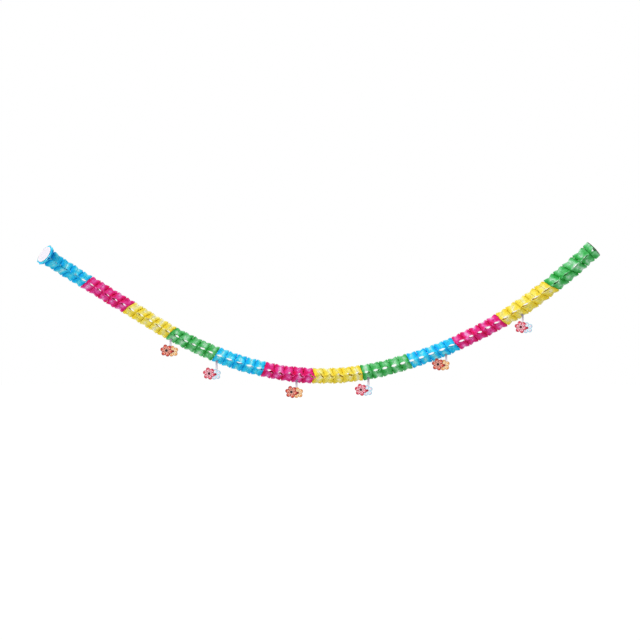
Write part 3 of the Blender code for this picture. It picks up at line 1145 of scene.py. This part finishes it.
def make_flower_mesh(name, curl):
    shape = bmesh.new()
    add_flower_layer(shape, *REAR_FLOWER, 0.0, 0.0)
    add_flower_layer(shape, *FRONT_FLOWER, LAYER_STEP, curl)
    shape.normal_update()
    if sum(face.normal.y for face in shape.faces) > 0.0:
        bmesh.ops.reverse_faces(shape, faces=shape.faces)
    mesh = finish_mesh(name, shape)
    store_place(mesh)
    return mesh


def flower_print_group():
    """Colour of a printed flower at a place from its centre: edged petals, spots and a heart."""
    name = "flower_print"
    if name in bpy.data.node_groups:
        return bpy.data.node_groups[name]
    inputs = dict.fromkeys(("Across", "Upward", "Radius", "Petals", "Turn"), "Float")
    inputs.update(dict.fromkeys(PRINT_PARTS, "Color"))
    group, given = new_tree(name, "ShaderNodeTree", inputs, {"Colour": "Color"})
    edge, tip, throat, spot, heart = (given[part] for part in PRINT_PARTS)
    x = given["Across"] / given["Radius"]
    y = given["Upward"] / given["Radius"]
    reach = maths("SQRT", x * x + y * y)
    turns = (maths("ARCTAN2", x, y) - given["Turn"]) / math.tau * given["Petals"]
    within = maths("FRACT", turns + 0.5) - 0.5
    beside = within / given["Petals"] * math.tau
    along = reach * maths("COSINE", beside)
    across = reach * maths("SINE", beside)
    half = PETAL_WIDTH / given["Petals"]

    def inside(distance, limit, softness):
        return ramp(distance, limit + softness, limit - softness)

    def oval(middle, length, width, limit, softness):
        far = (along - middle) / length
        wide = across / (half * width)
        return inside(maths("SQRT", far * far + wide * wide), limit, softness)

    vein = inside(abs(maths("FRACT", across / along * VEINS) - 0.5), *VEIN_EDGE)
    colour = between(throat, tip, ramp(along, *THROAT_TO_TIP))
    colour = between(colour, edge, vein * VEIN_STRENGTH)
    colour = between(edge, colour, oval(*PETAL_OVAL))
    colour = between(colour, spot, oval(*SPOT_OVAL))
    colour = between(colour, edge, oval(*DART_OVAL) * DART_STRENGTH)
    colour = between(colour, throat, inside(abs(reach - HEART_RING), *HEART_RING_EDGE))
    colour = between(colour, heart, inside(reach, *HEART))
    add_node(group, "NodeGroupOutput", {"Colour": colour})
    return group


def printed_flower(place, flower, colours):
    centre, radius, petals, turn = flower
    inputs = {
        "Across": place["X"] - centre[0],
        "Upward": place["Z"] - centre[1],
        "Radius": radius,
        "Petals": float(petals),
        "Turn": turn,
    }
    inputs.update({part: (*colour, 1.0) for part, colour in zip(PRINT_PARTS, colours)})
    made = add_node(place.tree, "ShaderNodeGroup", inputs, node_tree=flower_print_group())
    return made["Colour"]


def make_print_material(name, colours):
    """Printed card: the front layer carries one flower and the layer behind it the other."""
    material, tree = new_material(name)
    vector = attribute(tree, "card_place", "Vector")
    place = separate(vector)
    front = printed_flower(place, FRONT_FLOWER, colours[0])
    rear = printed_flower(place, REAR_FLOWER, colours[1])
    layer = ramp(place["Y"], *FRONT_LAYER_FROM)
    colour = between(rear, front, layer)
    shader, _ = add_paper(vector, colour, *PRINT_PAPER, PRINT_BUMP, Roughness=PRINT_ROUGHNESS)
    return finish_material(material, shader)


def make_board_material(name, colour):
    """Unprinted card."""
    material, tree = new_material(name)
    shader, _ = add_paper(object_place(tree), (*colour, 1.0), *BOARD_PAPER)
    return finish_material(material, shader)


def glued_lobe_end(cell):
    """The lowest and middle points of the lower front lobe edge in a cell, on the made tissue."""
    section, place = divmod(cell, CELLS_PER_SECTION)
    colour = SECTION_COLOURS[section % len(SECTION_COLOURS)]
    mesh = bpy.data.objects[f"tissue_{section + 1:02d}_{colour}_rings"].data
    end_angle = math.atan(CUT_LOBE_HALF_WIDTH / CUT_LOBE)
    row = int(end_angle * RING_STEPS_ROUND * LOBE_COUNT / math.pi)
    across = RING_STEPS_ACROSS + 1
    ring = 2 * place * 2 * RING_STEPS_ROUND * LOBE_COUNT * across
    middle = 2 * RING_STEPS_ROUND * (LOBE_COUNT - 1)
    return [
        mesh.vertices[ring + column * across + RING_STEPS_ACROSS].co.copy()
        for column in (middle - row, middle)
    ]


class Hang:
    """Where a flower card and its tab hang: the card as in the part, the tab on the tissue."""

    def __init__(self, line, number):
        cell, shift, drop = FLOWER_HANGS[number]
        plane = 2 * cell + 1
        width = line.at(line.widths, plane)
        angle = math.tau * (LOBE_COUNT - 0.5) / LOBE_COUNT
        half = 0.5 * LOBE_GLUE_WIDTH * width
        forward = LOBE_RADIUS * width * math.cos(angle) + half * math.sin(angle)
        upward = LOBE_RADIUS * width * math.sin(angle) - half * math.cos(angle)
        low_end = line.place(plane, forward, upward)
        self.tangent = line.at(line.tangents, plane)
        front = line.at(line.fronts, plane)
        up = line.at(line.ups, plane)
        self.outward = front * math.cos(angle) + up * math.sin(angle)
        clear = self.outward * (0.5 * TISSUE_WALL + TAB_CLEARANCE)
        self.foot = low_end + clear - Vector((0.0, TAB_FORWARD, drop - TAB_FOOT_RISE))
        depth = TAB_THICKNESS + CARD_CLEARANCE + 0.5 * FLOWER_CARD_THICKNESS
        self.centre = self.foot + Vector((shift, -depth, -TAB_FOOT_RISE))
        low, middle = glued_lobe_end(cell)
        self.bend = low + clear
        self.top = self.bend + (middle - low).normalized() * TAB_GLUED_LENGTH


class GARLAND_OT_make_flower_cards(bpy.types.Operator):
    """Make the six printed flower cards"""

    bl_idname = "garland.make_flower_cards"
    bl_label = "Make Flower Cards"

    def execute(self, context):
        sizes = context.scene.garland_sizes
        line = HangingLine(sizes)
        board_colour = tuple(context.scene.garland_colours.board)
        board = make_board_material("flower_card_board", board_colour)
        prints = {
            slot: make_print_material(f"{slot}_print", colours)
            for slot, colours in FLOWER_COLOURS.items()
        }
        for number in range(len(FLOWER_HANGS)):
            node = f"flower_card_{number + 1}"
            slot = ("cool_flower", "warm_flower")[(number + 1) % 2]
            centre = Hang(line, number).centre + Vector((0.0, 0.5 * LAYER_THICKNESS, 0.0))
            mesh = make_flower_mesh(node + "_print", sizes.petal_curl)
            mesh.transform(Matrix.Translation(centre))
            mesh.materials.append(prints[slot])
            mesh.materials.append(board)
            piece = link_object(node + "_print", mesh)
            wall = thicken(piece, "card", LAYER_THICKNESS, -1.0)
            wall.material_offset = 1
            wall.material_offset_rim = 1
            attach(piece, BODY)
            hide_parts(node)
        return {"FINISHED"}


def make_tab_mesh(name, hang):
    """A strip from the tissue over its edge and down behind the flower card."""
    glued = (hang.bend - hang.top).length
    hanging = (hang.foot - hang.bend).length
    level = Vector((1.0, 0.0, 0.0))
    shape = bmesh.new()
    rows = []
    for number in range(TAB_ROWS + 1):
        run = (glued + hanging) * number / TAB_ROWS
        if run <= glued:
            middle = hang.top.lerp(hang.bend, run / glued)
            turn = 0.0
        else:
            turn = (run - glued) / hanging
            middle = hang.bend.lerp(hang.foot, turn)
            middle += Vector((0.0, -TAB_BELLY * math.sin(math.pi * turn), 0.0))
        wide = hang.tangent.lerp(level, float(smooth(turn))).normalized() * TAB_WIDTH
        shares = [k / TAB_COLUMNS - 0.5 for k in range(TAB_COLUMNS + 1)]
        rows.append([shape.verts.new(middle + wide * share) for share in shares])
    for upper, lower in zip(rows, rows[1:]):
        for k in range(TAB_COLUMNS):
            shape.faces.new((upper[k], upper[k + 1], lower[k + 1], lower[k]))
    shape.normal_update()
    if shape.faces[:][0].normal.dot(hang.outward) < 0.0:
        bmesh.ops.reverse_faces(shape, faces=shape.faces)
    mesh = finish_mesh(name, shape)
    store(mesh, "down_tab", np.repeat(np.arange(TAB_ROWS + 1) / TAB_ROWS, TAB_COLUMNS + 1))
    return mesh


def make_tab_material(name, shaded_top_colour, foot_colour):
    """Paper strip with painted shade at its top, by the tissue, that grows paler towards its foot.
    """
    material, tree = new_material(name)
    place = object_place(tree)
    colour = between(shaded_top_colour, foot_colour, ramp(attribute(tree, "down_tab"), *TAB_SHADE_BLEND))
    shader, _ = add_paper(place, colour, *TAB_PAPER)
    return finish_material(material, shader)


class GARLAND_OT_make_tabs(bpy.types.Operator):
    """Make the six paper tabs that hold the flower cards"""

    bl_idname = "garland.make_tabs"
    bl_label = "Make Tabs"

    def execute(self, context):
        colours = context.scene.garland_colours
        line = HangingLine(context.scene.garland_sizes)
        material = make_tab_material(
            "tab_paper_with_shade", tuple(colours.tab_shaded_top), tuple(colours.tab_foot)
        )
        for number in range(len(FLOWER_HANGS)):
            node = f"hanging_tab_{number + 1}"
            mesh = make_tab_mesh(node + "_strip", Hang(line, number))
            mesh.materials.append(material)
            piece = link_object(node + "_strip", mesh)
            thicken(piece, "strip", TAB_THICKNESS, 1.0)
            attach(piece, BODY)
            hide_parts(node)
        return {"FINISHED"}


def seen_directly(tree):
    """1 for rays that show a background: straight, mirrored or through glass."""
    path = add_node(tree, "ShaderNodeLightPath")
    direct = maths("MAXIMUM", path["Is Camera Ray"], path["Is Glossy Ray"])
    return maths("MAXIMUM", direct, path["Is Transmission Ray"])


def make_floor_material():
    material, tree = new_material("floor")
    plain = add_node(tree, "ShaderNodeBsdfDiffuse", {"Color": (*FLOOR_COLOUR, 1.0)})
    white = add_node(
        tree, "ShaderNodeEmission", {"Color": WHITE, "Strength": FLOOR_WHITE_STRENGTH}
    )
    return finish_material(material, plain, white, seen_directly(tree) * FLOOR_SHOWN_WHITE)


def make_world(strength):
    world = bpy.data.worlds.new("studio")
    world.use_nodes = True
    tree = world.node_tree
    tree.nodes.clear()
    level = seen_directly(tree) * (1.0 - strength) + strength
    sky = add_node(tree, "ShaderNodeBackground", {"Color": WHITE, "Strength": level})
    add_node(tree, "ShaderNodeOutputWorld", {"Surface": sky[0]})
    return world


def add_sun(name, strength, direction, softness):
    lamp = bpy.data.lights.new(name, "SUN")
    lamp.energy = strength
    lamp.angle = softness
    holder = link_object(name, lamp)
    holder.rotation_euler = Vector(direction).to_track_quat("-Z", "Y").to_euler()


class GARLAND_OT_make_stage(bpy.types.Operator):
    """Make the floor, light and camera"""

    bl_idname = "garland.make_stage"
    bl_label = "Make Stage"

    def execute(self, context):
        stage = context.scene.garland_stage
        shape = bmesh.new()
        bmesh.ops.create_grid(shape, x_segments=1, y_segments=1, size=STAGE_REACH)
        bmesh.ops.translate(shape, verts=shape.verts, vec=(*VIEW_CENTRE[:2], stage.floor_level))
        mesh = finish_mesh("floor", shape)
        mesh.materials.append(make_floor_material())
        link_object("floor", mesh)
        context.scene.world = make_world(stage.sky_strength)
        add_sun("key_light", stage.key_strength, KEY_DIRECTION, KEY_SOFTNESS)
        add_sun("back_light", stage.back_strength, BACK_DIRECTION, BACK_SOFTNESS)
        view = bpy.data.cameras.new("camera")
        view.sensor_width = SENSOR_WIDTH
        view.angle = 2.0 * math.atan(0.5 * stage.view_width / stage.camera_distance)
        camera = link_object("camera", view)
        camera.location = Vector(VIEW_CENTRE) - Vector((0.0, stage.camera_distance, 0.0))
        camera.rotation_euler = (math.radians(90), 0.0, 0.0)
        context.scene.camera = camera
        context.scene.view_settings.view_transform = "Standard"
        return {"FINISHED"}


class GARLAND_PT_pieces(bpy.types.Panel):
    """Lists the garland's pieces, sizes and colours"""

    bl_idname = "GARLAND_PT_pieces"
    bl_label = "Paper Garland"
    bl_space_type = "VIEW_3D"
    bl_region_type = "UI"
    bl_category = "Garland"

    def draw(self, context):
        for operator in OPERATORS:
            self.layout.operator(operator.bl_idname)
        for name in PROPERTY_GROUPS:
            group = getattr(context.scene, name)
            box = self.layout.box()
            for value in group.__annotations__:
                box.prop(group, value)


OPERATORS = (
    GARLAND_OT_make_tissue,
    GARLAND_OT_make_end_cards,
    GARLAND_OT_make_flower_cards,
    GARLAND_OT_make_tabs,
    GARLAND_OT_make_stage,
)
PROPERTY_GROUPS = {
    "garland_sizes": GarlandSizes,
    "garland_colours": GarlandColours,
    "garland_stage": GarlandStage,
}
CLASSES = (*PROPERTY_GROUPS.values(), *OPERATORS, GARLAND_PT_pieces)


def register():
    for kind in CLASSES:
        bpy.utils.register_class(kind)
    for name, kind in PROPERTY_GROUPS.items():
        setattr(bpy.types.Scene, name, PointerProperty(type=kind))


def unregister():
    for name in PROPERTY_GROUPS:
        delattr(bpy.types.Scene, name)
    for kind in reversed(CLASSES):
        bpy.utils.unregister_class(kind)


def main():
    register()
    bpy.ops.garland.make_tissue()
    bpy.ops.garland.make_end_cards()
    bpy.ops.garland.make_flower_cards()
    bpy.ops.garland.make_tabs()
    bpy.ops.garland.make_stage()


if __name__ == "__main__":
    main()
